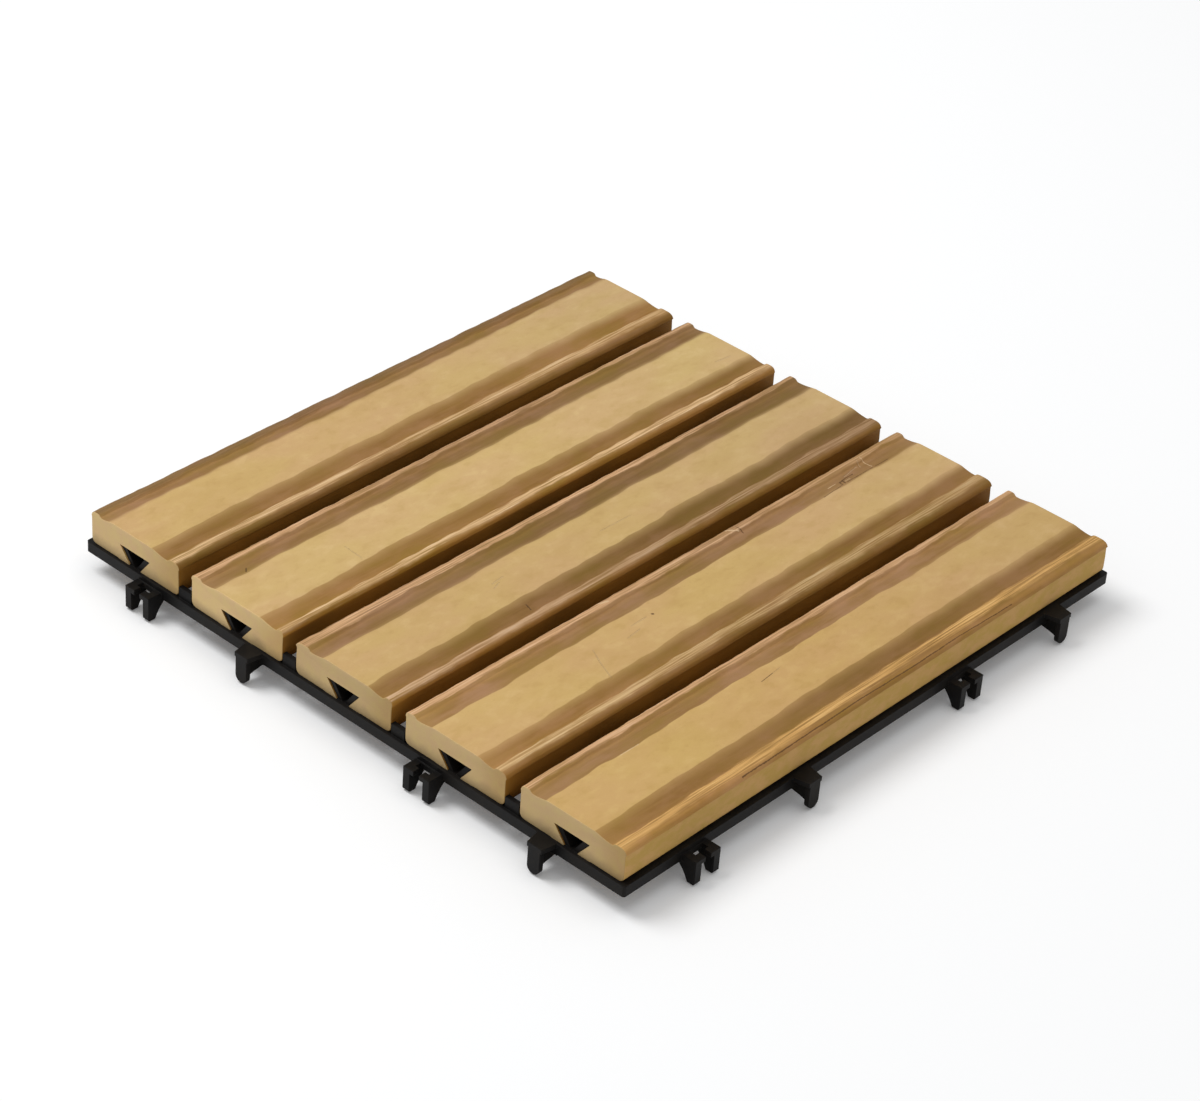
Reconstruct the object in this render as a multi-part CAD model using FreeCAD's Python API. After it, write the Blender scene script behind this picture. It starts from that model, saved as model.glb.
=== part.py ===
import FreeCAD, Part
import math
import os

# Interlocking deck tile: five composite slats snapped onto one moulded base.
# Millimetres, +Z up. The origin is on the ground, under the middle of the tile.
# X runs across the slats, Y along them.

# Slat field
slat_count = 5
slat_length = 300.0
slat_width = 54.4
slat_gap = 7.0
slat_thickness = 15.5

# Slat section
lip_width = 5.7
lip_shoulder_radius = 2.4
groove_width = 9.5
groove_depth = 1.3
groove_wall_run = 0.5
side_step = 0.5
side_step_slope = 0.3
bottom_corner_radius = 2.6
channel_mouth_width = 6.6
channel_top_width = 18.4
channel_depth = 7.6

# Base grid
base_height = 14.0
rim_height = 5.0
rim_overhang = 1.4
rim_thickness = 2.4
ledge_width = 6.4
ledge_thickness = 2.0
rim_corner_radius = 1.2
rib_thickness = 2.0
rib_height = 9.0
rib_end_taper = 14.0
cross_rib_count = 9

# Feet, where every second cross rib meets the rib under a slat
foot_root_width = 13.0
foot_tip_width = 10.0
foot_depth_in_rib = 3.0

# Snap clips that hold the slats
clip_row_count = 5
clip_length = 11.0
clip_end_inset = 0.6
clip_clearance = 0.3
clip_height = 6.9
clip_arm_thickness = 2.3
clip_split = 1.2
clip_pad_height = 3.0

# Spacers that stand between the slats
spacer_height = 5.0
spacer_thickness = 2.2
spacer_clearance = 0.3

# Edge connectors, all with the same reach beyond the slats
connector_inner = 49.5
connector_outer = 112.0
connector_reach = 8.4
connector_ground_gap = 0.6
root_depth = 6.0
root_height = 5.4

# Tab
tab_root_width = 10.8
tab_tip_width = 7.4
tab_plate_thickness = 2.0
tab_leg_width = 6.2
tab_leg_thickness = 2.2
tab_web_thickness = 2.2
tab_web_inset = 4.0
tab_web_foot_height = 1.4
tab_web_rise = 2.2
tab_web_curve = 0.4

# Fork
fork_width = 14.0
fork_prong_width = 3.4
fork_top_drop = 2.2
fork_plate_thickness = 2.2
fork_foot_run = 3.6
fork_root_drop = 4.4
fork_hole_start = 2.0
fork_hole_run = 3.0
fork_slot_width = 3.2
prong_edge_radius = 0.9
prong_curve = 0.4

# Worked out from the sizes above
slat_pitch = slat_width + slat_gap
field_width = slat_count * slat_width + (slat_count - 1) * slat_gap
half_x = field_width / 2
half_y = slat_length / 2
base_top = base_height
rim_bottom = base_top - rim_height
rib_bottom = base_top - rib_height
slat_centres = [(i - (slat_count - 1) / 2) * slat_pitch for i in range(slat_count)]
gap_centres = [x + slat_pitch / 2 for x in slat_centres[:-1]]
clip_reach_y = half_y - clip_end_inset - clip_length / 2
clip_rows = [-clip_reach_y + i * 2 * clip_reach_y / (clip_row_count - 1) for i in range(clip_row_count)]
cross_rib_pitch = slat_length / (cross_rib_count + 1)
cross_rib_places = [-half_y + (i + 1) * cross_rib_pitch for i in range(cross_rib_count)]
rim_inner_x = half_x + rim_overhang - rim_thickness
rim_inner_y = half_y + rim_overhang - rim_thickness
UP = FreeCAD.Vector(0, 0, 1)
ORIGIN = FreeCAD.Vector(0, 0, 0)


def at(x, y, z):
    return FreeCAD.Vector(x, y, z)


def line(a, b):
    return Part.LineSegment(a, b).toShape()


def block(x_low, x_high, y_low, y_high, z_low, z_high):
    return Part.makeBox(x_high - x_low, y_high - y_low, z_high - z_low, at(x_low, y_low, z_low))


def quarter_arc(start, end, centre):
    """Quarter circle about centre, from start to end."""
    middle = (start - centre) + (end - centre)
    middle.normalize()
    return Part.Arc(start, centre + middle * (start - centre).Length, end).toShape()


def raised_arc(start, end, rise):
    """Arc in a plane across X whose middle lies above the straight line by rise."""
    aside = at(0, start.z - end.z, end.y - start.y)
    aside.normalize()
    if aside.z < 0:
        aside = -aside
    return Part.Arc(start, (start + end) / 2 + aside * rise, end).toShape()


def polygon_prism(points, along):
    """Solid swept from the closed polygon by the vector along."""
    wire = Part.makePolygon(points + [points[0]])
    return Part.Face(wire).extrude(along)


def wire_prism(edges, along):
    wire = Part.Wire(Part.__sortEdges__(edges))
    return Part.Face(wire).extrude(along)


def slat_half_section():
    """Right half of the slat's outline, from the top middle to the channel's roof middle."""
    half = slat_width / 2
    top = slat_thickness
    lip_in = half - lip_width
    plateau = lip_in - groove_width
    low = lip_in - groove_wall_run
    shoulder = half - lip_shoulder_radius
    wall = half - side_step
    y = -half_y
    run = low - plateau
    dish = (run ** 2 + groove_depth ** 2) / (2 * groove_depth)
    middle_angle = math.asin(run / dish) / 2
    middle = at(low - dish * math.sin(middle_angle), y,
                top - groove_depth + dish * (1 - math.cos(middle_angle)))
    step_top = top - lip_shoulder_radius
    wall_top = step_top - side_step_slope
    corner = bottom_corner_radius
    mouth = channel_mouth_width / 2
    roof = channel_top_width / 2
    edges = [
        line(at(0, y, top), at(plateau, y, top)),
        Part.Arc(at(plateau, y, top), middle, at(low, y, top - groove_depth)).toShape(),
        line(at(low, y, top - groove_depth), at(lip_in, y, top)),
        line(at(lip_in, y, top), at(shoulder, y, top)),
        quarter_arc(at(shoulder, y, top), at(half, y, step_top), at(shoulder, y, step_top)),
        line(at(half, y, step_top), at(wall, y, wall_top)),
        line(at(wall, y, wall_top), at(wall, y, corner)),
        quarter_arc(at(wall, y, corner), at(wall - corner, y, 0), at(wall - corner, y, corner)),
        line(at(wall - corner, y, 0), at(mouth, y, 0)),
        line(at(mouth, y, 0), at(roof, y, channel_depth)),
        line(at(roof, y, channel_depth), at(0, y, channel_depth)),
    ]
    return edges


def make_slat():
    """Grooved board with a dovetail channel along its underside, centred on x = 0."""
    half = slat_half_section()
    mirrored = [edge.mirror(ORIGIN, at(1, 0, 0)) for edge in half]
    slat = wire_prism(half + mirrored, at(0, slat_length, 0))
    slat.translate(at(0, 0, base_top))
    return slat.removeSplitter()


def make_rim():
    """Wall that shows below the slats all round, with a ledge inside it for the slats."""
    outer_x = half_x + rim_overhang
    outer_y = half_y + rim_overhang
    outer = block(-outer_x, outer_x, -outer_y, outer_y, rim_bottom, base_top)
    corners = [e for e in outer.Edges if e.BoundBox.ZLength > rim_height / 2]
    outer = outer.makeFillet(rim_corner_radius, corners)
    within_wall = block(-rim_inner_x, rim_inner_x, -rim_inner_y, rim_inner_y,
                        rim_bottom, base_top - ledge_thickness)
    hole_x = outer_x - ledge_width
    hole_y = outer_y - ledge_width
    within_ledge = block(-hole_x, hole_x, -hole_y, hole_y, rim_bottom, base_top)
    return outer.cut(within_wall).cut(within_ledge)


def rib_section(reach):
    """Side view of a rib from -reach to reach: shallow at the rim, deeper further in."""
    inner = reach - rib_end_taper
    return [(-reach, base_top), (reach, base_top), (reach, rim_bottom),
            (inner, rib_bottom), (-inner, rib_bottom), (-reach, rim_bottom)]


def make_ribs():
    """Lengthwise ribs under every slat and gap, and evenly spaced cross ribs."""
    half_rib = rib_thickness / 2
    reach_x = rim_inner_x + half_rib
    reach_y = rim_inner_y + half_rib
    ribs = []
    for x in slat_centres + gap_centres:
        section = [at(x - half_rib, y, z) for y, z in rib_section(reach_y)]
        ribs.append(polygon_prism(section, at(rib_thickness, 0, 0)))
    for y in cross_rib_places:
        section = [at(x, y - half_rib, z) for x, z in rib_section(reach_x)]
        ribs.append(polygon_prism(section, at(0, rib_thickness, 0)))
    return ribs


def make_feet():
    """Cross-shaped feet: two ribs run on down to the ground where they meet, narrowing on the way."""
    half_rib = rib_thickness / 2
    root = foot_root_width / 2
    tip = foot_tip_width / 2
    root_z = rib_bottom + foot_depth_in_rib
    profile = [(-tip, 0), (tip, 0), (root, rib_bottom), (root, root_z), (-root, root_z), (-root, rib_bottom)]
    feet = []
    for x in slat_centres:
        for y in cross_rib_places[::2]:
            lengthwise = [at(x - half_rib, y + u, z) for u, z in profile]
            crosswise = [at(x + u, y - half_rib, z) for u, z in profile]
            feet.append(polygon_prism(lengthwise, at(rib_thickness, 0, 0)))
            feet.append(polygon_prism(crosswise, at(0, rib_thickness, 0)))
    return feet


def clip_arm(side, x, y):
    """One sprung arm of a clip, leaning out along the channel's flank."""
    lean = (channel_top_width - channel_mouth_width) / 2 / channel_depth
    foot_out = channel_mouth_width / 2 - clip_clearance
    foot_in = clip_split / 2
    tip_out = foot_out + lean * clip_height
    tip_in = tip_out - clip_arm_thickness * math.hypot(1, lean)
    section = [(foot_in, 0), (foot_out, 0), (tip_out, clip_height), (tip_in, clip_height)]
    points = [at(x + side * u, y - clip_length / 2, base_top + w) for u, w in section]
    return polygon_prism(points, at(0, clip_length, 0))


def make_clips():
    """Split dovetail clips on small pads, a row under each slat."""
    pad = channel_mouth_width / 2 - clip_clearance
    clips = []
    for x in slat_centres:
        for y in clip_rows:
            clips.append(block(x - pad, x + pad, y - clip_length / 2, y + clip_length / 2,
                               base_top - clip_pad_height, base_top))
            clips.append(clip_arm(1, x, y))
            clips.append(clip_arm(-1, x, y))
    return clips


def make_spacers():
    """Low walls that keep the slats apart, flush with the slat ends and at the middle clip rows."""
    half = slat_gap / 2 + side_step - spacer_clearance
    end_y = half_y - spacer_thickness / 2
    rows = [-end_y] + clip_rows[1:-1] + [end_y]
    pads = []
    for x in gap_centres:
        for y in rows:
            pads.append(block(x - half, x + half, y - spacer_thickness / 2, y + spacer_thickness / 2,
                              rim_bottom, base_top + spacer_height))
    return pads


def outward(along, out, z):
    """Point on the near side, by its place along the side and its distance beyond the slats."""
    return at(along, -half_y - out, z)


def connector_root(along, width):
    """Block behind the rim that carries a connector."""
    return block(along - width / 2, along + width / 2, -half_y - rim_overhang, -half_y + root_depth,
                 base_top - root_height, base_top)


def make_tab(along):
    """Tapering plate with a round-ended leg at its outer end and a web between leg and rim."""
    plate_low = base_top - tab_plate_thickness
    root = tab_root_width / 2
    tip = tab_tip_width / 2
    plate = polygon_prism([outward(along - root, 0, plate_low), outward(along + root, 0, plate_low),
                           outward(along + tip, connector_reach, plate_low),
                           outward(along - tip, connector_reach, plate_low)],
                          at(0, 0, tab_plate_thickness))
    leg_in = connector_reach - tab_leg_thickness
    half_leg = tab_leg_width / 2
    round_z = connector_ground_gap + half_leg
    leg_edges = [
        line(outward(along - half_leg, leg_in, plate_low), outward(along - half_leg, leg_in, round_z)),
        Part.Arc(outward(along - half_leg, leg_in, round_z),
                 outward(along, leg_in, connector_ground_gap),
                 outward(along + half_leg, leg_in, round_z)).toShape(),
        line(outward(along + half_leg, leg_in, round_z), outward(along + half_leg, leg_in, plate_low)),
        line(outward(along + half_leg, leg_in, plate_low), outward(along - half_leg, leg_in, plate_low)),
    ]
    leg = wire_prism(leg_edges, at(0, -tab_leg_thickness, 0))
    web_x = along - tab_web_thickness / 2
    foot_z = connector_ground_gap + tab_web_foot_height
    root_z = foot_z + tab_web_rise
    leg_mid = leg_in + tab_leg_thickness / 2
    web_edges = [
        line(outward(web_x, -tab_web_inset, plate_low), outward(web_x, -tab_web_inset, rib_bottom)),
        line(outward(web_x, -tab_web_inset, rib_bottom), outward(web_x, 0, root_z)),
        raised_arc(outward(web_x, 0, root_z), outward(web_x, leg_mid, foot_z), tab_web_curve),
        line(outward(web_x, leg_mid, foot_z), outward(web_x, leg_mid, plate_low)),
        line(outward(web_x, leg_mid, plate_low), outward(web_x, -tab_web_inset, plate_low)),
    ]
    web = wire_prism(web_edges, at(tab_web_thickness, 0, 0))
    return [connector_root(along, tab_root_width), plate, leg, web]


def fork_prong(low_x):
    """Side wall of a fork that narrows to a foot at its outer end."""
    top = base_top - fork_top_drop
    root_z = top - fork_root_drop
    foot_z = connector_ground_gap
    reach = connector_reach
    foot_in = reach - fork_foot_run
    edges = [
        line(outward(low_x, 0, top), outward(low_x, reach, top)),
        line(outward(low_x, reach, top), outward(low_x, reach, foot_z + prong_edge_radius)),
        quarter_arc(outward(low_x, reach, foot_z + prong_edge_radius),
                    outward(low_x, reach - prong_edge_radius, foot_z),
                    outward(low_x, reach - prong_edge_radius, foot_z + prong_edge_radius)),
        line(outward(low_x, reach - prong_edge_radius, foot_z), outward(low_x, foot_in, foot_z)),
        raised_arc(outward(low_x, foot_in, foot_z), outward(low_x, 0, root_z), prong_curve),
        line(outward(low_x, 0, root_z), outward(low_x, 0, top)),
    ]
    return wire_prism(edges, at(fork_prong_width, 0, 0))


def make_fork(along):
    """Two prongs under a plate whose keyhole takes a neighbour's tab leg and web."""
    half = fork_width / 2
    top = base_top - fork_top_drop
    low = top - fork_plate_thickness
    plate = block(along - half, along + half, -half_y - connector_reach, -half_y, low, top)
    half_hole = half - fork_prong_width
    hole_end = fork_hole_start + fork_hole_run
    hole = block(along - half_hole, along + half_hole,
                 -half_y - hole_end, -half_y - fork_hole_start, low, top)
    slot = block(along - fork_slot_width / 2, along + fork_slot_width / 2,
                 -half_y - connector_reach, -half_y - hole_end, low, top)
    plate = plate.cut(hole).cut(slot)
    return [connector_root(along, fork_width), plate, fork_prong(along - half),
            fork_prong(along + half - fork_prong_width)]


def make_connectors():
    """Fork, tab, fork, tab along each side, the same seen from outside every side."""
    near_side = []
    for along, make in ((-connector_outer, make_fork), (-connector_inner, make_tab),
                        (connector_inner, make_fork), (connector_outer, make_tab)):
        near_side.extend(make(along))
    pieces = []
    for turn in range(4):
        for piece in near_side:
            copy = piece.copy()
            copy.rotate(ORIGIN, UP, 90 * turn)
            if turn % 2:
                shift = half_x - half_y
                copy.translate(at(shift if turn == 1 else -shift, 0, 0))
            pieces.append(copy)
    return pieces


def make_base():
    pieces = make_ribs() + make_feet() + make_clips() + make_spacers() + make_connectors()
    base = make_rim().multiFuse(pieces).removeSplitter()
    return base.Solids[0] if len(base.Solids) == 1 else base


def main():
    os.makedirs("parts", exist_ok=True)
    shapes = {"deck_base": make_base()}
    slat = make_slat()
    for number, x in enumerate(slat_centres, start=1):
        copy = slat.copy()
        copy.translate(at(x, 0, 0))
        shapes["slat_%d" % number] = copy
    for name, shape in shapes.items():
        shape.exportStep("parts/%s.step" % name)
        box = shape.BoundBox
        print("%s solids %d valid %s volume %.0f mm3 box %.1f x %.1f x %.1f from z %.2f" % (
            name, len(shape.Solids), shape.isValid(), shape.Volume,
            box.XLength, box.YLength, box.ZLength, box.ZMin))


main()
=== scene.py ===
import math

import bpy
import numpy as np
from mathutils import Matrix, Vector


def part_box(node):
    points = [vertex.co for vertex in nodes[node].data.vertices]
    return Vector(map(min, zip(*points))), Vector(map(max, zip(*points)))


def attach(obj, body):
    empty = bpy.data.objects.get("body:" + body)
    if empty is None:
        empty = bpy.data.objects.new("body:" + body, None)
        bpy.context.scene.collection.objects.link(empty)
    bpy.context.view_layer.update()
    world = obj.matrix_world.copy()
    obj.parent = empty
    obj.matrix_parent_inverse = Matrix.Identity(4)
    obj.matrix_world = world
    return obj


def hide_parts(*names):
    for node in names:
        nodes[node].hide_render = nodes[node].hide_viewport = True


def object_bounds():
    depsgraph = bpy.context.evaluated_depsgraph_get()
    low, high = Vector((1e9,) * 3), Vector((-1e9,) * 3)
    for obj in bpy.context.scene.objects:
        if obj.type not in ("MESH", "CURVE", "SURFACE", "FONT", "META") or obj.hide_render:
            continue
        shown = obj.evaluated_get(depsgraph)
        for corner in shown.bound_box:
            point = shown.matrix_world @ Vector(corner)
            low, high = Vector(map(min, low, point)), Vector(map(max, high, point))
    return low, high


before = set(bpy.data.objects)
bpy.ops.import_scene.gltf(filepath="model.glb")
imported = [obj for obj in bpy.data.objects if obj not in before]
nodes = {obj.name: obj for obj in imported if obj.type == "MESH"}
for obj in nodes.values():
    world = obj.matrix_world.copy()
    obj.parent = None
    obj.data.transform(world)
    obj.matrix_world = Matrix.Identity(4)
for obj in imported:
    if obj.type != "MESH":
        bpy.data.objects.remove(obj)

CAD_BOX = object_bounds()
SLATS = ["slat_%d" % number for number in range(1, 6)]
MM = 0.001

# Camera, fitted to the corners of the slats in the photograph
CAMERA_AZIMUTH = math.radians(40.31)
CAMERA_ELEVATION = math.radians(34.46)
CAMERA_ROLL = math.radians(4.48)
CAMERA_DISTANCE = 1467.4 * MM
CAMERA_TARGET = Vector((10.8 * MM, -14.6 * MM, CAD_BOX[1].z))
CAMERA_CLIP = (0.05, 30.0)
PHOTO_WIDTH = 1200
FOCAL_PIXELS = 3568
SENSOR_WIDTH = 36.0

# Stage: each lamp's place, size and power, and the white ground
LAMPS = {
    "key": ((-1.35, -0.65, 2.45), 1.5, 40.0),
    "overhead": ((0.1, 0.3, 2.8), 2.2, 13.0),
}
WORLD_STRENGTH = 0.45
FLOOR_SIZE = 12.0
FLOOR_WHITE = (0.93, 0.935, 0.94)
FLOOR_LIFT = 0.10

# Reading of the CAD slats' ends
END_DECIMALS = 6
END_TOLERANCE = 1e-6
END_FACING = 0.5

# Fineness of the slats' mesh
EDGE_SOFTENING = 0.28 * MM
TOP_SOFTENING = 0.75 * MM
SOFTENING_REACH = 3
OUTLINE_STEP = 0.1 * MM
LONGEST_STEP = 1.4 * MM
SHARPEST_TURN = math.radians(9)
ROW_STEP = 2.0 * MM
END_ROUNDING = 0.35 * MM
END_ROWS = 5
CHANNEL_SIDE = (9.4 * MM, 11.0 * MM)
CHANNEL_ROOF = (0.53, 0.62)
TOP_SKIN = (0.84, 0.90)

# Waver of the lines and of the lips' outer edges, and the shares of the height over which it sets in
LINE_WANDER, LINE_WAVES = 0.85 * MM, (0.083, 0.041, 0.024, 0.013)
LIP_WANDER, LIP_WAVES = 0.60 * MM, (0.11, 0.047, 0.021, 0.011)
LINES_HELD = (0.5, 0.8)
LIPS_HELD = (0.80, 0.88)
LIP_INNER, LIP_OUTER = 4.5 * MM, 1.0 * MM
WAVE_SIZES = (0.5, 1.0)

# The slat's ends and where its lines turn straight, counted in distances from the middle to the near place
LINE_ENDS, LINE_STRAIGHT = 1.3, 1.15

# Painted light and shade on the lips' outer sides and on the feet of their inner sides, making up for how the
# lamps light them
RIGHT_SHOULDER = (24.2 * MM, 26.4 * MM)
LEFT_SHOULDER = (20.5 * MM, 23.5 * MM)
LIP_FOOT, LIP_FOOT_WIDTH = 21.1 * MM, 0.9 * MM
LEFT_FOOT_PAINTED_LIGHT, RIGHT_FOOT_PAINTED_LIGHT = 0.40, 0.08

# Shade of the sawn faces' right half, places of the tints along a board, and what tells the boards apart
END_SHADE, END_SHADE_WIDTH = 0.10, 0.02
TINT_PLACES = (0.1, 0.5, 0.9)
NOISE_STEP = 0.37
SEED = 40

# Lines along a slat, in mm from its middle: left lip's inner edge, plateau's edges, right lip's inner edge
LINES = (-22.5, -13.0, 10.8, 21.3)

# Edges of the stripes, from nothing to full, in mm from a slat's middle. The plateau's are a ramp and a step
PLATEAU_EDGES = (((-15.4, -11.4), (-13.4, -12.8)), ((16.0, 10.2), (11.1, 10.5)))
LEFT_TO_RIGHT = (-10.0, 10.0)
# Crests: partly rubbed wear, partly painted highlight on the lips' sides that face the key light on the left
LEFT_CREST_OUT = (-27.0, -25.8)
LEFT_CREST_IN = (-22.1, -23.0)
RIGHT_CREST_IN = (20.4, 22.2)
RIGHT_CREST_OUT = (25.4, 23.4)
# Where a lip's right shoulder falls into a gap it gets painted warm shade
SHOULDER_GAP_SHADE = (25.6, 27.1)
# Painted shade on the sawn faces towards their right edge
SAWN_RIGHT_SHADE = (8.0, 27.0)

# Thin dark line along the plateau's left edge, broken up by noise
EDGE_LINE, EDGE_LINE_FADE, EDGE_LINE_STRENGTH = 13.2, (0.45, 0.10), 0.45
EDGE_LINE_BREAKS = (0.40, 0.60)

# Depths below the top and distances from the ends over which a look sets in, in mm
TOP_DEPTH = (2.6, 1.7)
WALL_DEPTH = (2.3, 3.4)
GAP_DEPTH = (2.4, 4.6)
SAWN_LOW = (9.5, 15.0)
SAWN_DEPTH = (0.30, 0.05)
NEAR_END, NEAR_END_STRENGTH = (11.0, 2.0), 0.30

# How far noise sways the stripes, the crests (rubbed wear and painted highlight), the ends' paler skin and
# the sawn faces' lower tone, in mm
WAVES_SWAY, STREAKS_SWAY = 3.0, 0.9
CREST_SWAY = 2.6
NEAR_END_SWAY = 8.0
SAWN_LOW_SWAY = 4.0

# Each board. Tint is the plateau's, lines are where its LINES run and reach is how far the right crest
# is widened, each at the near end, the middle and the far end. Skin is the brown of the grooves and
# crest how far the lips are rubbed pale and painted with highlight, both left then right, each from near
# to far. Crisp is how sharply the plateau's edges are drawn and shoulder the painted light and shade of
# the lips' outer sides, left and right. Inner is 1 where that side faces another board and gets the gap's
# painted shade. Lip is the right lip's hue and end the sawn face's tone.
BOARDS = {
    "slat_1": {
        "tint": ((1.03, 1.02, 0.89), (1.02, 1.02, 0.93), (0.98, 1.01, 0.965)),
        "lines": ((-22.5, -22.5, -22.5), (-15.6, -15.6, -16.2), (9.8, 9.0, 7.6), (20.2, 19.6, 18.8)),
        "reach": (0.0, 0.0, 0.0),
        "skin": ((1.06, 0.92, 0.95), (1.00, 1.02, 1.08)),
        "crest": ((0.1, 0.1, 0.1), (1.2, 0.9, 0.75)),
        "crisp": (0.0, 0.55),
        "shoulder": (0.68, 0.75),
        "inner": (0, 1),
        "lip": (1.05, 1.05, 0.99),
        "end": 1.00,
    },
    "slat_2": {
        "tint": ((1.07, 1.09, 0.99), (1.08, 1.11, 1.00), (1.04, 1.09, 1.01)),
        "lines": ((-22.4, -23.0, -23.4), (-13.0, -13.5, -14.0), (13.2, 11.5, 11.0), (23.2, 21.7, 20.9)),
        "reach": (2.2, 0.8, 0.6),
        "skin": ((1.00, 0.88, 0.79), (1.19, 1.02, 0.90)),
        "crest": ((1.15, 0.65, 0.75), (0.9, 1.4, 1.0)),
        "crisp": (0.5, 0.65),
        "shoulder": (1.00, 1.30),
        "inner": (1, 1),
        "lip": (1.10, 1.10, 1.05),
        "end": 1.10,
    },
    "slat_3": {
        "tint": ((1.01, 1.00, 0.88), (1.00, 1.00, 0.90), (0.97, 0.99, 0.96)),
        "lines": ((-21.0, -22.4, -23.2), (-11.7, -12.6, -12.8), (12.8, 11.2, 9.6), (22.6, 21.5, 20.3)),
        "reach": (2.0, 0.7, 0.5),
        "skin": ((0.96, 0.76, 0.73), (0.98, 0.77, 0.62)),
        "crest": ((0.95, 1.1, 0.6), (0.85, 0.6, 0.4)),
        "crisp": (0.6, 0.6),
        "shoulder": (1.00, 1.40),
        "inner": (1, 1),
        "lip": (1.00, 0.97, 1.02),
        "end": 0.88,
    },
    "slat_4": {
        "tint": ((1.05, 1.03, 0.88), (1.01, 1.00, 0.835), (1.00, 1.00, 0.95)),
        "lines": ((-22.4, -22.4, -23.2), (-12.9, -13.6, -14.4), (11.6, 10.0, 9.0), (20.5, 19.3, 18.6)),
        "reach": (0.0, 0.4, 0.4),
        "skin": ((1.18, 0.93, 0.98), (1.21, 0.92, 0.90)),
        "crest": ((1.6, 0.85, 0.6), (1.25, 0.68, 0.55)),
        "crisp": (0.85, 0.55),
        "shoulder": (1.00, 0.90),
        "inner": (1, 1),
        "lip": (1.02, 1.04, 0.94),
        "end": 0.92,
    },
    "slat_5": {
        "tint": ((1.04, 1.02, 0.79), (0.99, 0.945, 0.745), (0.96, 0.935, 0.845)),
        "lines": ((-23.2, -23.2, -23.6), (-14.3, -14.4, -14.4), (10.4, 9.6, 8.4), (20.5, 19.1, 18.7)),
        "reach": (0.9, 0.3, 0.3),
        "skin": ((1.09, 1.06, 1.04), (1.12, 0.86, 0.90)),
        "crest": ((1.35, 1.0, 0.75), (1.3, 1.0, 0.95)),
        "crisp": (1.0, 0.65),
        "shoulder": (1.00, 1.50),
        "inner": (1, 0),
        "lip": (1.01, 0.88, 0.55),
        "end": 0.88,
    },
}

# How crispness fades from a board's near end to its far end
CRISP_FADING = (1.0, 1.0, 0.35)

# Marks in the photograph: (kind, start, end, half width), in mm on the tile seen from above
MARKS = [
    ("pale", (37.9, 121.2), (45.0, 120.8), 0.24),
    ("faint", (38.2, 118.6), (41.6, 117.2), 0.40),
    ("faint", (40.4, 116.0), (42.0, 106.0), 0.35),
    ("dark", (46.3, 130.5), (46.2, 121.5), 0.16),
    ("dark", (46.1, 120.0), (46.0, 103.0), 0.18),
    ("dark", (46.2, 99.5), (47.3, 86.0), 0.14),
    ("dark", (43.2, 110.0), (43.1, 105.0), 0.28),
    ("dark", (43.2, 104.5), (43.9, 100.5), 0.38),
    ("dark", (44.2, 102.4), (45.9, 101.9), 0.28),
    ("dark", (43.9, 100.4), (45.8, 100.2), 0.30),
    ("pale", (43.2, 98.6), (43.3, 93.4), 0.22),
    ("faint", (44.6, 106.5), (44.8, 103.4), 0.45),
    ("dark", (36.9, 40.8), (41.0, 41.0), 0.22),
    ("pale", (35.9, 35.6), (39.4, 39.4), 0.45),
    # Painted glint on a lip
    ("pale", (35.9, -42.6), (37.4, -38.6), 0.55),
    ("faint", (56.1, -67.5), (64.0, -71.6), 0.22),
    ("faint", (64.0, -71.6), (73.1, -75.4), 0.20),
    ("faint", (55.2, -35.3), (55.4, -44.3), 0.22),
    ("faint", (59.1, -43.2), (60.0, -51.3), 0.20),
    ("dark", (55.4, -31.8), (55.7, -31.5), 0.45),
    ("dark", (-77.3, -130.3), (-75.2, -132.2), 0.30),
    ("dark", (16.2, -64.2), (19.6, -64.8), 0.25),
    ("faint", (-3.0, -57.8), (-2.2, -64.6), 0.30),
    ("faint", (-1.0, -62.0), (0.5, -66.2), 0.25),
    ("faint", (1.6, 14.0), (1.2, -4.0), 0.18),
    ("faint", (-54.6, 142.0), (-55.6, 133.6), 0.30),
    ("faint", (-61.0, -90.6), (-50.5, -91.2), 0.22),
    ("dark", (114.3, -26.0), (115.1, -33.6), 0.14),
    ("faint", (113.9, -21.0), (114.4, -26.5), 0.14),
    # Painted shade: a dark line along the bend of slat 5's right shoulder
    ("line", (149.0, 84.0), (148.4, 50.0), 0.17),
    ("line", (148.4, 50.0), (148.7, 20.0), 0.20),
    ("line", (148.7, 20.0), (148.3, -13.0), 0.22),
    ("line", (148.3, -13.0), (148.8, -55.0), 0.22),
    ("line", (148.8, -55.0), (149.0, -84.0), 0.24),
    ("pale", (109.1, -99.0), (109.1, -109.0), 0.22),
]

# What makes the marks ragged: the noise, how it changes their width, and how softly they end
MARK_NOISE = (900.0, 3.0, 0.7)
MARK_RAGGED = (0.25, 0.75, 0.45, 1.5)
MARK_EDGE = (1.2, 0.6)

# Colours, linear
SKIN = (0.325, 0.182, 0.066)
SKIN_DEEP = (0.275, 0.145, 0.046)
SKIN_PALE = (0.370, 0.220, 0.090)
SKIN_MAUVE = (0.375, 0.208, 0.110)
SKIN_OLIVE = (0.285, 0.172, 0.040)
SKIN_LEFT_HUE = (0.94, 0.92, 0.86)
SKIN_RIGHT_HUE = (0.91, 0.85, 0.62)
# Painted warm shade on shoulders that fall into a gap
SHOULDER_SHADE_HUE = (1.02, 0.86, 0.38)
LEFT_LIP_HUE = (1.00, 0.90, 0.87)
TAN_YELLOW = (0.590, 0.400, 0.172)
TAN_PINK = (0.590, 0.378, 0.190)
TAN_PALE = (0.650, 0.450, 0.225)
TAN_DEEP = (0.510, 0.325, 0.130)
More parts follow.
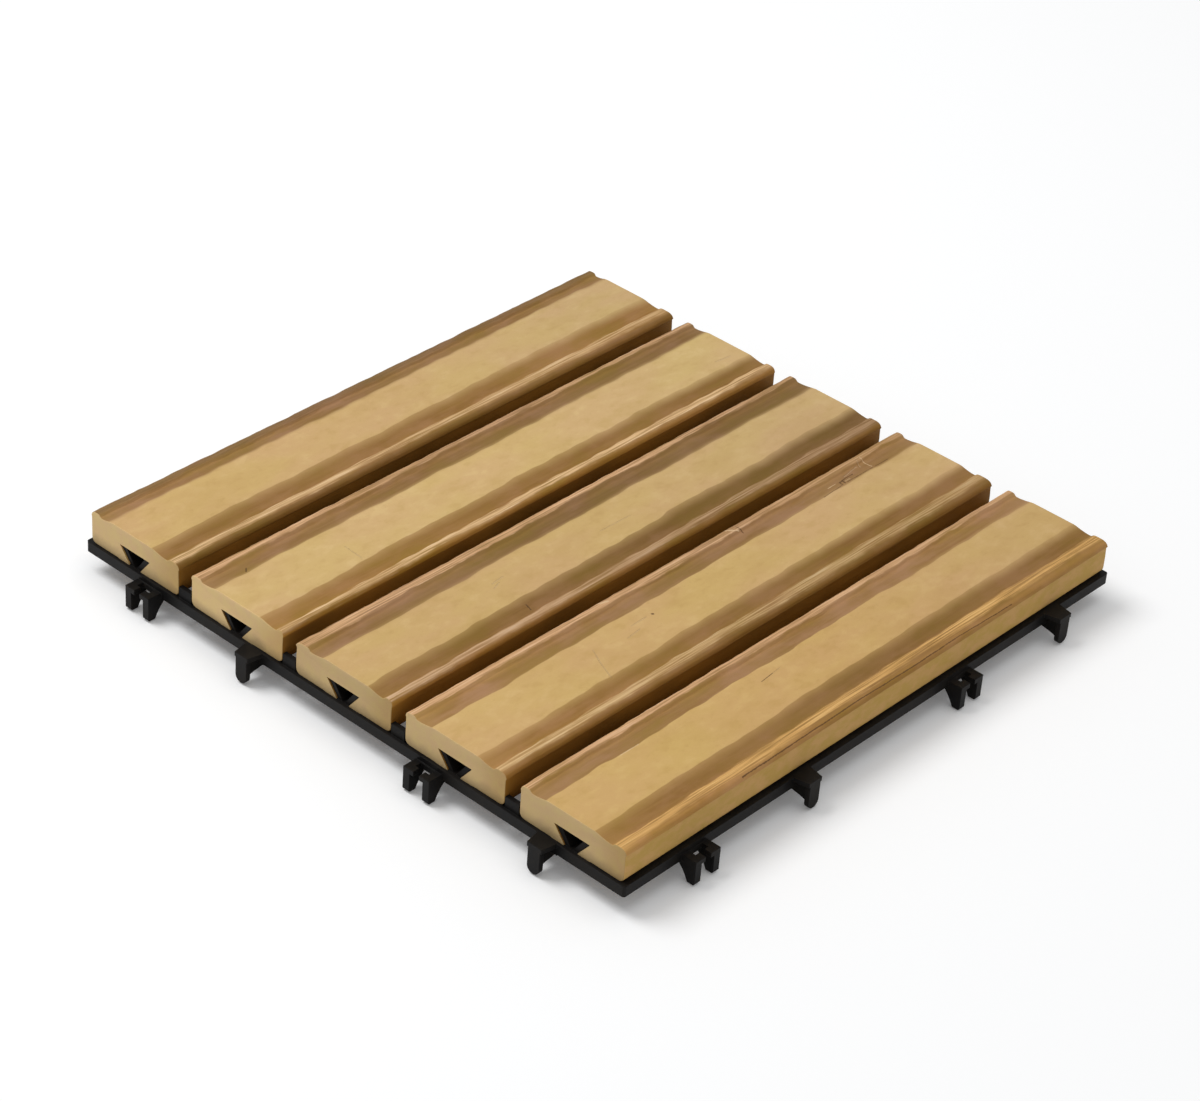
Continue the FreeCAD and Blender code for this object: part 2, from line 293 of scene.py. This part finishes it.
# Crest colours: rubbed wear with painted highlight, and pale streaks of painted glint
CREST = (0.640, 0.415, 0.215)
CREST_GLINT_STREAKS = (0.800, 0.610, 0.400)
SAWN = (0.690, 0.500, 0.225)
SAWN_PINK = (0.680, 0.465, 0.235)
SAWN_DEEP = (0.500, 0.355, 0.175)
# Painted shade on the sawn faces' right part
SAWN_RIGHT_SHADE_HUE = (0.86, 0.80, 0.68)
WALL_OLIVE = (0.515, 0.320, 0.080)
WALL_PINK = (0.590, 0.345, 0.122)
# Painted shade on the walls of the gaps between boards, darker further down
GAP_WALL_SHADE = (0.340, 0.155, 0.022)
GAP_DEEP_SHADE = (0.290, 0.132, 0.018)
# Gouges, and the painted shade line on a shoulder's bend
GOUGE_AND_SHADE_LINE = (0.120, 0.060, 0.022)
# Scratches, and a painted glint
SCRATCH_AND_GLINT = (0.700, 0.500, 0.290)
BLACK_PLASTIC = (0.0065, 0.0060, 0.0060)
PLASTIC_DUST = (0.013, 0.011, 0.009)
PLASTIC_SCUFF = (0.034, 0.030, 0.026)

# Strength and colour of each kind of mark, in the order in which they are laid on
MARK_LOOKS = {
    "dark": (0.85, GOUGE_AND_SHADE_LINE),
    "pale": (0.75, SCRATCH_AND_GLINT),
    "faint": (0.28, SCRATCH_AND_GLINT),
    "line": (0.85, GOUGE_AND_SHADE_LINE),
}

# Noises: factors of the place across, along and up (below one is longer), scale, detail and roughness
WOOD_NOISES = {
    "patches": ((1.0, 0.40, 1.0), 42.0, 3.0, 0.55),
    "mottle": ((1.0, 0.60, 1.0), 190.0, 3.0, 0.60),
    "streaks": ((1.0, 0.05, 1.0), 520.0, 4.0, 0.65),
    "threads": ((1.0, 0.02, 1.0), 1500.0, 2.0, 0.60),
    "fibres": ((1.0, 0.16, 1.0), 1400.0, 2.0, 0.60),
    "grain": ((1.0, 1.00, 1.0), 2600.0, 2.0, 0.60),
    "waves": ((1.0, 1.00, 1.0), 24.0, 3.0, 0.50),
    "ragged": ((1.0, 0.45, 1.0), 120.0, 3.0, 0.65),
    "clouds": ((1.0, 0.40, 1.0), 80.0, 4.0, 0.60),
}
PLASTIC_NOISES = {
    "blotches": ((1.0, 1.0, 1.0), 60.0, 3.0, 0.55),
    "grain": ((1.0, 1.0, 1.0), 2600.0, 2.0, 0.50),
    "scuffs": ((1.0, 1.0, 3.0), 380.0, 4.0, 0.70),
}
FLAT = (1.0, 1.0, 0.0)

# Layers: a colour and its washes, each a noise, where it sets in, where it is full, its strength and colour
SKIN_LAYER = (SKIN_DEEP, (
    ("streaks", 0.32, 0.68, 1.00, SKIN),
    ("patches", 0.38, 0.68, 0.55, SKIN_PALE),
    ("clouds", 0.46, 0.70, 0.85, SKIN_MAUVE),
    ("clouds", 0.52, 0.30, 0.85, SKIN_OLIVE),
))
SANDED_LAYER = (TAN_YELLOW, (
    ("patches", 0.36, 0.66, 1.00, TAN_PINK),
    ("mottle", 0.50, 0.72, 0.55, TAN_PALE),
    ("mottle", 0.48, 0.28, 0.50, TAN_DEEP),
    ("clouds", 0.52, 0.36, 0.30, TAN_DEEP),
    ("fibres", 0.62, 0.74, 0.30, TAN_DEEP),
))
# Crests: rubbed wear with painted highlight, and threads of painted glint
RUBBED_AND_HIGHLIT_LAYER = (CREST, (
    ("threads", 0.54, 0.70, 0.55, CREST_GLINT_STREAKS),
))
WALL_LAYER = (WALL_OLIVE, (
    ("mottle", 0.35, 0.68, 1.00, WALL_PINK),
))
SAWN_LAYER = (SAWN, (
    ("mottle", 0.30, 0.70, 1.00, SAWN_PINK),
))
GRAIN_WASHES = (
    ("grain", 0.64, 0.74, 0.35, SKIN_DEEP),
)
PLASTIC_LAYER = (BLACK_PLASTIC, (
    ("blotches", 0.35, 0.70, 1.00, PLASTIC_DUST),
    ("scuffs", 0.62, 0.78, 0.35, PLASTIC_SCUFF),
))

# Noise turned into a tone: where it sets in, where it is full, and the tones there
CREST_THREADS = (0.32, 0.60, 0.15, 1.0)
GAP_TONES = (0.3, 0.7, 0.75, 1.25)
PLASTIC_ROUGHNESS = (0.3, 0.7, 0.40, 0.55)

# Roughness and thread relief, on the skin and on the sanded middle
WOOD_ROUGHNESS = (0.72, 0.60)
THREAD_STRENGTHS = (0.60, 0.12)

# Relief: depth and strength
THREAD_DEPTH = 0.22 * MM
WOOD_RELIEF = {"mottle": (0.30 * MM, 0.35), "grain": (0.06 * MM, 0.5)}
MARK_RELIEF = (-0.35 * MM, 0.8)
PLASTIC_RELIEF = (0.05 * MM, 0.6)
PLASTIC_BEVEL, BEVEL_SAMPLES = 0.35 * MM, 6
WOOD_SPECULAR, PLASTIC_SPECULAR = 0.2, 0.12


def smooth_step(low, high, value):
    t = np.clip((value - low) / (high - low), 0, 1)
    return t * t * (3 - 2 * t)


# Slats

def end_outline(node):
    """Closed outline (x, z) of a slat's cut end, in order round it, read from the CAD mesh."""
    mesh = node.data
    low = min(vertex.co.y for vertex in mesh.vertices) + END_TOLERANCE
    links = {}
    for polygon in mesh.polygons:
        if abs(polygon.normal.y) > END_FACING:
            continue
        for ends in polygon.edge_keys:
            a, b = (mesh.vertices[i].co for i in ends)
            if a.y < low and b.y < low:
                a, b = ((round(end.x, END_DECIMALS), round(end.z, END_DECIMALS)) for end in (a, b))
                links.setdefault(a, set()).add(b)
                links.setdefault(b, set()).add(a)
    start = max(links, key=lambda point: (point[1], -point[0]))
    outline, last = [start], None
    while True:
        onward = [point for point in links[outline[-1]] if point not in (last, outline[-1])]
        last = outline[-1]
        if onward[0] == start or len(outline) > len(links):
            break
        outline.append(onward[0])
    return np.array(outline)


def evenly(points, step):
    """Points at equal steps round the closed outline."""
    closed = np.vstack([points, points[:1]])
    lengths = np.r_[0, np.cumsum(np.linalg.norm(np.diff(closed, axis=0), axis=1))]
    count = int(round(lengths[-1] / step))
    where = np.arange(count) * lengths[-1] / count
    return np.c_[np.interp(where, lengths, closed[:, 0]), np.interp(where, lengths, closed[:, 1])]


def softened(points, radius, step):
    """The outline with its corners rounded off by a weighted moving average."""
    reach = int(SOFTENING_REACH * radius / step)
    weights = np.exp(-0.5 * (np.arange(-reach, reach + 1) * step / radius) ** 2)
    weights /= weights.sum()
    return sum(weight * np.roll(points, -steps, axis=0)
               for weight, steps in zip(weights, range(-reach, reach + 1)))


def thinned(points):
    """The outline with few points on its straights and more round its corners."""
    kept, turn = [0], 0.0
    count = len(points)
    for i in range(1, count):
        before = points[i] - points[i - 1]
        after = points[(i + 1) % count] - points[i]
        turn += abs(math.atan2(before[0] * after[1] - before[1] * after[0], float(before @ after)))
        far = np.linalg.norm(points[i] - points[kept[-1]])
        if turn > SHARPEST_TURN or far > LONGEST_STEP:
            kept.append(i)
            turn = 0.0
    return points[kept]


def inward_normals(points):
    along = np.roll(points, -1, axis=0) - np.roll(points, 1, axis=0)
    normals = np.c_[-along[:, 1], along[:, 0]]
    normals /= np.linalg.norm(normals, axis=1)[:, None]
    area = np.sum(points[:, 0] * np.roll(points[:, 1], -1) - np.roll(points[:, 0], -1) * points[:, 1])
    return normals if area > 0 else -normals


def row_places(low, high):
    """(y, inset) of every cross row, with the two ends rounded over."""
    rounding = [(END_ROUNDING * (1 - math.cos(a)), END_ROUNDING * (1 - math.sin(a)))
                for a in np.linspace(0, math.pi / 2, END_ROWS)]
    count = int((high - low - 2 * END_ROUNDING) / ROW_STEP)
    middle = [(y, 0.0) for y in np.linspace(low + END_ROUNDING, high - END_ROUNDING, count)]
    return ([(low + run, inset) for run, inset in rounding[:-1]] + middle
            + [(high - run, inset) for run, inset in rounding[-2::-1]])


def wander(values, random, wavelengths, size):
    """Smooth wobble along the values, never larger than size."""
    total = np.zeros_like(values)
    for wavelength in wavelengths:
        wave = np.sin(2 * math.pi * (values / wavelength + random.random()))
        total += wave * random.uniform(*WAVE_SIZES)
    return size * total / len(wavelengths)


def section_of(outline, low, high, centre):
    """Outline with softened edges, gentler on the worn top than below, and its places across and up."""
    fine = evenly(outline, OUTLINE_STEP)
    sharp = softened(fine, EDGE_SOFTENING, OUTLINE_STEP)
    soft = softened(fine, TOP_SOFTENING, OUTLINE_STEP)
    up = (fine[:, 1] - low.z) / (high.z - low.z)
    share = smooth_step(*TOP_SKIN, up)[:, None]
    section = thinned(sharp * (1 - share) + soft * share)
    return section, section[:, 0] - centre, (section[:, 1] - low.z) / (high.z - low.z)


def line_shifts(ys, across, up, places, half_width, random):
    """How far each row moves the section sideways, so that each line runs in its place, slightly unevenly."""
    along = np.interp(ys, (ys[0], ys[-1]), (-LINE_ENDS, LINE_ENDS))
    along = np.clip(along, -LINE_STRAIGHT, LINE_STRAIGHT)
    moves = [np.zeros(len(ys))]
    for line, near_to_far in zip(LINES, places):
        curve = np.polyfit((-1, 0, 1), [(place - line) * MM for place in near_to_far], 2)
        moves.append(np.polyval(curve, along) + wander(ys, random, LINE_WAVES, LINE_WANDER))
    moves.append(np.zeros(len(ys)))
    knots = [-half_width, *(line * MM for line in LINES), half_width]
    shifts = np.array([np.interp(across, knots, row) for row in np.array(moves).T])
    shifts *= smooth_step(*LINES_HELD, up)
    for side in (-1, 1):
        inward = np.abs(wander(ys, random, LIP_WAVES, LIP_WANDER))
        on_lip = smooth_step(half_width - LIP_INNER, half_width - LIP_OUTER, side * across)
        shifts -= side * inward[:, None] * smooth_step(*LIPS_HELD, up) * on_lip
    return shifts


def board_values(name, rows_y, low, high, across, drop):
    """Per-vertex numbers that the slat material reads."""
    board = BOARDS[name]
    share = (rows_y - low.y) / (high.y - low.y)
    right = across > 0

    def two_sided(pair):
        left_row, right_row = (np.interp(share, (0, 0.5, 1), values) for values in pair)
        return np.where(right[None, :], right_row[:, None], left_row[:, None])

    # Painted light and shade on the lips' outer sides and on the feet of their inner sides, carried in the
    # skin's tone
    left_side, right_side = board["shoulder"]
    shoulder = 1 + (right_side - 1) * smooth_step(*RIGHT_SHOULDER, across)
    shoulder += (left_side - 1) * smooth_step(*LEFT_SHOULDER, -across)
    shoulder += LEFT_FOOT_PAINTED_LIGHT * np.exp(-((across + LIP_FOOT) / LIP_FOOT_WIDTH) ** 2)
    shoulder += RIGHT_FOOT_PAINTED_LIGHT * np.exp(-((across - LIP_FOOT) / LIP_FOOT_WIDTH) ** 2)
    inner_left, inner_right = board["inner"]
    from_end = np.minimum(rows_y - low.y, high.y - rows_y)
    grid = np.ones((len(rows_y), len(across)))
    return {
        "across": grid * across,
        "drop": grid * drop,
        "from_end": grid * from_end[:, None],
        "skin": two_sided(board["skin"]) * shoulder,
        "crest": two_sided(board["crest"]),
        "crisp": two_sided([[amount * fading for fading in CRISP_FADING] for amount in board["crisp"]]),
        "reach": two_sided(((0, 0, 0), board["reach"])) * MM,
        "inner": grid * np.where(right, inner_right, inner_left),
        "end_tone": grid * board["end"] * (1 - END_SHADE * smooth_step(0, END_SHADE_WIDTH, across)),
    }


def swept_mesh(name, section, normals, rows, shifts):
    """Closed mesh of the section swept through the rows."""
    count = len(section)
    places = []
    for (y, inset), shift in zip(rows, shifts):
        ring = section + normals * inset
        places += [(x, y, z) for x, z in zip(ring[:, 0] + shift, ring[:, 1])]
    faces = [tuple(reversed(range(count)))]
    for row in range(len(rows) - 1):
        a, b = row * count, (row + 1) * count
        faces += [(a + i, a + (i + 1) % count, b + (i + 1) % count, b + i) for i in range(count)]
    faces.append(tuple(range(len(places) - count, len(places))))
    mesh = bpy.data.meshes.new(name)
    mesh.from_pydata(places, [], faces)
    mesh.update()
    if mesh.polygons[0].normal.y > 0:
        mesh.flip_normals()
    mesh.polygons.foreach_set("use_smooth", [len(face.vertices) == 4 for face in mesh.polygons])
    return mesh


def set_values(mesh, label, kind, values):
    """Gives every vertex a number, or three, that the material reads by its label."""
    attribute = mesh.attributes.new(label, kind, "POINT")
    attribute.data.foreach_set("value" if kind == "FLOAT" else "vector", values.ravel().astype(np.float32))


def build_slat(name, number):
    """A slat with softened edges, slightly uneven lines and rounded ends, in place of the CAD one."""
    low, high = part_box(name)
    centre = (low.x + high.x) / 2
    half_width = (high.x - low.x) / 2
    section, across, up = section_of(end_outline(nodes[name]), low, high, centre)
    outside = np.maximum(smooth_step(*CHANNEL_SIDE, np.abs(across)), smooth_step(*CHANNEL_ROOF, up))
    normals = inward_normals(section) * outside[:, None]
    rows = row_places(low.y, high.y)
    ys = np.array([y for y, inset in rows])
    random = np.random.default_rng(SEED + number)
    shifts = line_shifts(ys, across, up, BOARDS[name]["lines"], half_width, random)
    mesh = swept_mesh(name + "_board", section, normals, rows, shifts)

    drop = high.z - section[:, 1]
    for label, grid in board_values(name, ys, low, high, across, drop).items():
        set_values(mesh, label, "FLOAT", grid)
    set_values(mesh, "offset", "FLOAT", np.full(len(mesh.vertices), NOISE_STEP * number))
    share = (ys - low.y) / (high.y - low.y)
    tint = np.array([np.interp(share, TINT_PLACES, part) for part in zip(*BOARDS[name]["tint"])]).T
    set_values(mesh, "tint", "FLOAT_VECTOR", np.repeat(tint, len(section), axis=0))
    set_values(mesh, "lip", "FLOAT_VECTOR", np.tile(BOARDS[name]["lip"], (len(mesh.vertices), 1)))

    board = bpy.data.objects.new(name + "_board", mesh)
    bpy.context.scene.collection.objects.link(board)
    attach(board, "root")
    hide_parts(name)
    return board


# Materials

class Graph:
    """Adds shader nodes and links them. An input is a number, a colour, or another node's socket."""

    def __init__(self, name):
        self.material = bpy.data.materials.new(name)
        self.material.use_nodes = True
        self.tree = self.material.node_tree
        self.tree.nodes.clear()

    def add(self, kind, settings=None, **inputs):
        """A new node. Its inputs are given by name, with _ for a space, or by number, as in i0."""
        made = self.tree.nodes.new(kind)
        for key, value in (settings or {}).items():
            setattr(made, key, value)
        for key, value in inputs.items():
            number = key[1:]
            target = made.inputs[int(number) if number.isdigit() else key.replace("_", " ")]
            self.put(target, value)
        return made

    def put(self, target, value):
        if isinstance(value, bpy.types.NodeSocket):
            self.tree.links.new(value, target)
        elif isinstance(value, tuple) and target.type == "RGBA":
            target.default_value = (*value, 1)
        else:
            target.default_value = value

    def attribute(self, name, output="Fac"):
        return self.add("ShaderNodeAttribute", {"attribute_name": name}).outputs[output]

    def maths(self, operation, a, b=0.0, clamp=False):
        return self.add("ShaderNodeMath", {"operation": operation, "use_clamp": clamp}, i0=a, i1=b).outputs[0]

    def noise(self, vector, scale, detail, roughness):
        made = self.add("ShaderNodeTexNoise", Vector=vector, Scale=scale, Detail=detail, Roughness=roughness)
        return made.outputs["Fac"]

    def noises(self, place, table):
        """The noises of a table, by name."""
        return {name: self.noise(self.stretch(place, factors), *look)
                for name, (factors, *look) in table.items()}

    def vector(self, operation, a, b, output="Vector"):
        return self.add("ShaderNodeVectorMath", {"operation": operation}, i0=a, i1=b).outputs[output]

    def stretch(self, vector, scale):
        return self.vector("MULTIPLY", vector, scale)

    def in_mm(self, name):
        return self.maths("MULTIPLY", self.attribute(name), 1 / MM)

    def spread(self, value, low, high, to_low=0.0, to_high=1.0):
        return self.add("ShaderNodeMapRange", {"interpolation_type": "SMOOTHSTEP"}, Value=value, From_Min=low,
                        From_Max=high, To_Min=to_low, To_Max=to_high).outputs["Result"]

    def part(self, value, low, high, strength):
        """As spread, from nought to the strength."""
        return self.maths("MULTIPLY", self.spread(value, low, high), strength)

    def swayed(self, value, noise, size):
        """The value moved up and down by the noise."""
        return self.maths("ADD", value, self.maths("MULTIPLY", self.maths("SUBTRACT", noise, 0.5), size))

    def times(self, *values):
        total = values[0]
        for value in values[1:]:
            total = self.maths("MULTIPLY", total, value)
        return total

    def blend(self, factor, a, b):
        """A number from a to b."""
        return self.add("ShaderNodeMix", {"data_type": "FLOAT"}, i0=factor, i2=a, i3=b).outputs[0]

    def grey(self, value):
        return self.add("ShaderNodeCombineColor", Red=value, Green=value, Blue=value).outputs[0]

    def mix(self, factor, a, b, blend="MIX"):
        return self.add("ShaderNodeMix", {"data_type": "RGBA", "blend_type": blend}, i0=factor, i6=a,
                        i7=b).outputs[2]

    def tinted(self, colour, hue):
        return self.mix(1.0, colour, hue, "MULTIPLY")

    def washed(self, noises, colour, washes):
        """The colour with others laid over it, each where its noise runs from low to high."""
        for name, low, high, strength, over in washes:
            colour = self.mix(self.part(noises[name], low, high, strength), colour, over)
        return colour

    def bump(self, height, distance, strength=1.0, normal=None):
        made = self.add("ShaderNodeBump", Height=height, Distance=distance, Strength=strength)
        if normal is not None:
            self.put(made.inputs["Normal"], normal)
        return made.outputs["Normal"]

    def principled(self, colour, roughness, normal, specular):
        shader = self.add("ShaderNodeBsdfPrincipled", Base_Color=colour, Roughness=roughness, Normal=normal,
                          Specular_IOR_Level=specular)
        return self.surface(shader.outputs[0])

    def surface(self, shader):
        output = self.tree.nodes.new("ShaderNodeOutputMaterial")
        self.tree.links.new(shader, output.inputs["Surface"])
        return self.material


def mark_mask(g, flat, start, end, half_width, ragged):
    """One on a straight mark between two places, its width made ragged by noise."""
    start, end = Vector((*start, 0)) * MM, Vector((*end, 0)) * MM
    run = end - start
    away = g.vector("SUBTRACT", flat, tuple(start))
    along = g.vector("DOT_PRODUCT", away, tuple(run), "Value")
    share = g.maths("DIVIDE", along, run.length_squared, clamp=True)
    scaled = g.add("ShaderNodeVectorMath", {"operation": "SCALE"}, i0=tuple(run), Scale=share).outputs[0]
    distance = g.vector("DISTANCE", away, scaled, "Value")
    widths = g.maths("MULTIPLY", distance, 1 / (half_width * MM))
    return g.spread(g.maths("DIVIDE", widths, ragged), *MARK_EDGE)


def marks(g, here):
    """A mask of each kind of mark."""
    flat = g.stretch(here, FLAT)
    ragged = g.spread(g.noise(here, *MARK_NOISE), *MARK_RAGGED)
    masks = {}
    for kind, start, end, half_width in MARKS:
        mask = mark_mask(g, flat, start, end, half_width, ragged)
        masks[kind] = g.maths("MAXIMUM", masks[kind], mask) if kind in masks else mask
    return masks


def board_stripes(g, noises, across, drop):
    """Masks of the sanded middle, its left edge's line and the crests, which are rubbed pale and painted with
    highlight, by place on the section.
    """
    wavering = g.swayed(g.swayed(across, noises["waves"], WAVES_SWAY), noises["streaks"], STREAKS_SWAY)
    on_top = g.spread(drop, *TOP_DEPTH)
    crisp = g.attribute("crisp")
    edges = [g.blend(crisp, g.spread(wavering, *ramp), g.spread(wavering, *step))
             for ramp, step in PLATEAU_EDGES]
    plateau = g.times(*edges, on_top)
    edge_line = g.spread(g.maths("ABSOLUTE", g.maths("ADD", wavering, EDGE_LINE)), *EDGE_LINE_FADE)
    edge_line = g.times(edge_line, crisp, g.spread(noises["mottle"], *EDGE_LINE_BREAKS), on_top)
    # Place of the crests: rubbed wear and painted highlight on the lips' left-facing sides
    worn = g.swayed(wavering, noises["ragged"], CREST_SWAY)
    reached = g.maths("SUBTRACT", worn, g.in_mm("reach"))
    left_crest = g.times(g.spread(worn, *LEFT_CREST_OUT), g.spread(worn, *LEFT_CREST_IN))
    right_crest = g.times(g.spread(worn, *RIGHT_CREST_IN), g.spread(reached, *RIGHT_CREST_OUT))
    threaded = g.spread(noises["threads"], *CREST_THREADS)
    crest = g.times(g.maths("MAXIMUM", left_crest, right_crest), threaded, g.attribute("crest"))
    return plateau, edge_line, g.maths("MULTIPLY", crest, on_top, clamp=True)


def board_skin(g, noises, across, from_end):
    """Brown pressed surface of the grooves and lips, with painted warm shade where a right shoulder falls
    into a gap, and toned by the skin values that carry painted light and shade.
    """
    near_end = g.spread(g.swayed(from_end, noises["mottle"], NEAR_END_SWAY), *NEAR_END)
    skin = g.washed(noises, *SKIN_LAYER)
    skin = g.mix(g.maths("MULTIPLY", near_end, NEAR_END_STRENGTH), skin, SKIN_PALE)
    hue = g.mix(g.spread(across, *LEFT_TO_RIGHT), SKIN_LEFT_HUE, SKIN_RIGHT_HUE)
    # Painted warm shade where the right shoulder falls into a gap
    hue = g.mix(g.times(g.spread(across, *SHOULDER_GAP_SHADE), g.attribute("inner")), hue, SHOULDER_SHADE_HUE)
    return g.tinted(g.tinted(skin, hue), g.grey(g.attribute("skin")))


def board_sanded(g, noises):
    """Pale tan of the sanded middle."""
    return g.tinted(g.washed(noises, *SANDED_LAYER), g.attribute("tint", "Color"))


def board_rubbed_and_highlit(g, noises, across):
    """Pale crest of a lip: rubbed wear with painted highlight, and painted glints along its threads."""
    rubbed = g.washed(noises, *RUBBED_AND_HIGHLIT_LAYER)
    hue = g.mix(g.spread(across, *LEFT_TO_RIGHT), LEFT_LIP_HUE, g.attribute("lip", "Color"))
    return g.tinted(rubbed, hue)


def board_walls(g, noises, drop):
    """Outer side of the tile, or the wall of a gap between two boards painted in shade that deepens further
    down.
    """
    outer_wall = g.washed(noises, *WALL_LAYER)
    # Painted shade in the gap, darker with depth
    gap = g.mix(g.spread(drop, *GAP_DEPTH), GAP_WALL_SHADE, GAP_DEEP_SHADE)
    gap = g.tinted(gap, g.grey(g.spread(noises["patches"], *GAP_TONES)))
    return g.mix(g.attribute("inner"), outer_wall, gap)


def board_cut(g, noises, across, drop):
    """Sawn end, deeper in tone low down, with painted shade towards the right."""
    low_down = g.spread(g.swayed(drop, noises["mottle"], SAWN_LOW_SWAY), *SAWN_LOW)
    cut = g.mix(low_down, g.washed(noises, *SAWN_LAYER), SAWN_DEEP)
    cut = g.tinted(cut, g.grey(g.attribute("end_tone")))
    return g.mix(g.spread(across, *SAWN_RIGHT_SHADE), cut, SAWN_RIGHT_SHADE_HUE, "MULTIPLY")


def composite_wood():
    """Brown extruded composite, sanded pale on the flat middle and rubbed pale on the lips' crests, where
    highlight is painted too. Shade is painted on the gap walls, on shoulders that fall into a gap and on the
    sawn ends' right sides, and light and shade on the lips' sides.
    """
    g = Graph("slat_composite")
    here = g.add("ShaderNodeTexCoord").outputs["Object"]
    offset = g.add("ShaderNodeCombineXYZ", X=g.attribute("offset"), Y=g.attribute("offset")).outputs[0]
    place = g.vector("ADD", here, offset)
    across, drop, from_end = (g.in_mm(label) for label in ("across", "drop", "from_end"))
    noises = g.noises(place, WOOD_NOISES)

    plateau, edge_line, crest = board_stripes(g, noises, across, drop)
    wall = g.spread(drop, *WALL_DEPTH)
    sawn = g.spread(from_end, *SAWN_DEPTH)
    colour = g.mix(plateau, board_skin(g, noises, across, from_end), board_sanded(g, noises))
    colour = g.mix(g.maths("MULTIPLY", edge_line, EDGE_LINE_STRENGTH), colour, SKIN_DEEP)
    colour = g.mix(crest, colour, board_rubbed_and_highlit(g, noises, across))
    colour = g.mix(wall, colour, board_walls(g, noises, drop))
    colour = g.mix(sawn, colour, board_cut(g, noises, across, drop))
    colour = g.washed(noises, colour, GRAIN_WASHES)
    masks = marks(g, here)
    for kind, (strength, mark_colour) in MARK_LOOKS.items():
        colour = g.mix(g.maths("MULTIPLY", masks[kind], strength), colour, mark_colour)

    roughness = g.spread(plateau, 0.0, 1.0, *WOOD_ROUGHNESS)
    normal = g.bump(noises["threads"], THREAD_DEPTH, g.spread(plateau, 0.0, 1.0, *THREAD_STRENGTHS))
    for name, relief in WOOD_RELIEF.items():
        normal = g.bump(noises[name], *relief, normal)
    normal = g.bump(g.maths("ADD", masks["dark"], masks["faint"]), *MARK_RELIEF, normal)
    return g.principled(colour, roughness, normal, WOOD_SPECULAR)


def black_plastic():
    """Black moulded polypropylene, slightly dusty and scuffed, its edges rounded in the shading."""
    g = Graph("base_polypropylene")
    noises = g.noises(g.add("ShaderNodeTexCoord").outputs["Object"], PLASTIC_NOISES)
    colour = g.washed(noises, *PLASTIC_LAYER)
    rounded = g.add("ShaderNodeBevel", {"samples": BEVEL_SAMPLES}, Radius=PLASTIC_BEVEL).outputs[0]
    normal = g.bump(noises["grain"], *PLASTIC_RELIEF, rounded)
    roughness = g.spread(noises["blotches"], *PLASTIC_ROUGHNESS)
    return g.principled(colour, roughness, normal, PLASTIC_SPECULAR)


def white_floor():
    """White ground that keeps the tile's shadow; the camera sees it a little brighter than it lights."""
    g = Graph("white_floor")
    diffuse = g.add("ShaderNodeBsdfDiffuse", Color=FLOOR_WHITE)
    seen = g.add("ShaderNodeLightPath").outputs["Is Camera Ray"]
    lift = g.add("ShaderNodeEmission", Color=(1.0, 1.0, 1.0), Strength=g.maths("MULTIPLY", seen, FLOOR_LIFT))
    both = g.add("ShaderNodeAddShader", i0=diffuse.outputs[0], i1=lift.outputs[0])
    return g.surface(both.outputs[0])


# Stage

def build_floor():
    mesh = bpy.data.meshes.new("floor")
    half = FLOOR_SIZE / 2
    corners = [(-half, -half, 0), (half, -half, 0), (half, half, 0), (-half, half, 0)]
    mesh.from_pydata(corners, [], [(0, 1, 2, 3)])
    floor = bpy.data.objects.new("floor", mesh)
    bpy.context.scene.collection.objects.link(floor)
    mesh.materials.append(white_floor())


def area_light(name, place, size, power):
    """A round lamp that shines on the tile's middle."""
    light = bpy.data.lights.new(name, "AREA")
    light.shape = "DISK"
    light.size = size
    light.energy = power
    lamp = bpy.data.objects.new(name, light)
    bpy.context.scene.collection.objects.link(lamp)
    lamp.location = place
    lamp.rotation_euler = (-Vector(place)).to_track_quat("-Z", "Y").to_euler()


def build_light():
    world = bpy.data.worlds.new("studio")
    bpy.context.scene.world = world
    world.use_nodes = True
    background = world.node_tree.nodes["Background"]
    background.inputs["Color"].default_value = (1.0, 1.0, 1.0, 1.0)
    background.inputs["Strength"].default_value = WORLD_STRENGTH
    for name, look in LAMPS.items():
        area_light(name, *look)


def build_camera():
    level = math.cos(CAMERA_ELEVATION)
    back = Vector((math.sin(CAMERA_AZIMUTH) * level, -math.cos(CAMERA_AZIMUTH) * level,
                   math.sin(CAMERA_ELEVATION)))
    right = Vector((0, 0, 1)).cross(back).normalized()
    up = back.cross(right)
    cosine, sine = math.cos(CAMERA_ROLL), math.sin(CAMERA_ROLL)
    turned_right, turned_up = right * cosine + up * sine, up * cosine - right * sine
    data = bpy.data.cameras.new("camera")
    data.sensor_fit = "HORIZONTAL"
    data.sensor_width = SENSOR_WIDTH
    data.lens = FOCAL_PIXELS / PHOTO_WIDTH * SENSOR_WIDTH
    data.clip_start, data.clip_end = CAMERA_CLIP
    camera = bpy.data.objects.new("camera", data)
    bpy.context.scene.collection.objects.link(camera)
    place = CAMERA_TARGET + back * CAMERA_DISTANCE
    turn = Matrix((turned_right, turned_up, back)).transposed()
    camera.matrix_world = Matrix.Translation(place) @ turn.to_4x4()
    bpy.context.scene.camera = camera


def main():
    slat_material = composite_wood()
    for number, name in enumerate(SLATS, start=1):
        build_slat(name, number).data.materials.append(slat_material)
    base = nodes["deck_base"]
    base.data.materials.clear()
    base.data.materials.append(black_plastic())
    build_floor()
    build_light()
    build_camera()
    bpy.context.scene.view_settings.view_transform = "Standard"


main()
